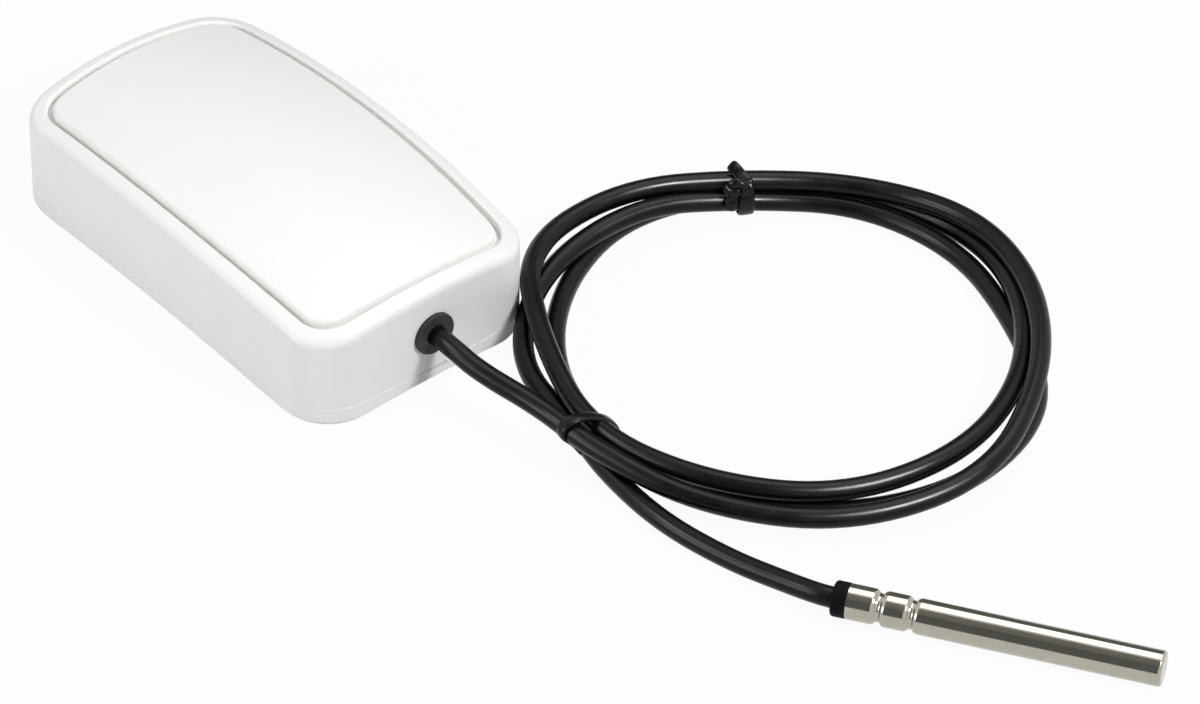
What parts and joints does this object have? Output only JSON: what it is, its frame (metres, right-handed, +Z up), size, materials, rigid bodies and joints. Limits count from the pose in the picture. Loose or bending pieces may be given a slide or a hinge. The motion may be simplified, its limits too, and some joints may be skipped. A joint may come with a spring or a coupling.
{
  "type": "wireless temperature sensor",
  "caption": "White wireless temperature sensor with a crowned inset panel and a rubber grommet, whose coiled black cable ends in a plain metal probe with crimp grooves.",
  "frame": {"origin": "bottom centre of the housing, without the cable and what is on it", "axes": "+Y along the housing away from the cable, +Z up through the panel, +X across the housing towards the coil"},
  "size_m": [0.124, 0.2203, 0.0247],
  "materials": {
    "housing": "satin",
    "panel": "satin",
    "rubber": "matte",
    "cable": "satin",
    "tie": "gloss",
    "probe_metal": "satin",
    "fastener": "satin",
    "board": "satin",
    "chip": "matte",
    "shield": "satin",
    "contact": "satin",
    "cell": "gloss",
    "can": "satin",
    "terminal": "gloss",
    "holder": "matte",
    "wire": "gloss",
    "resin": "gloss"
  },
  "bodies": {
    "root": {"top_cover": "housing", "front_panel": "panel", "base_cover": "housing", "cover_seal": "rubber", "housing_screws": "fastener", "circuit_board": "board", "board_screws": "fastener", "radio_module": "shield", "microcontroller": "chip", "antenna": "contact", "reserve_capacitor": "can", "terminal_block": "terminal", "terminal_screws": "fastener", "battery_cell": "cell", "battery_holder": "holder", "positive_contact": "contact", "negative_contact": "contact", "cable_grommet": "rubber", "inner_cable": "cable", "cable_stop": "holder", "sensor_wires": "wire", "gland_lead": "cable", "cable_coil": "cable", "ring_tie": "tie", "knot_tie": "tie", "probe_lead": "cable", "probe_sleeve": "rubber", "probe_sheath": "probe_metal", "probe_cable_end": "cable", "probe_wires": "wire", "thermistor_bead": "resin", "probe_potting": "resin"}
  },
  "joints": []
}
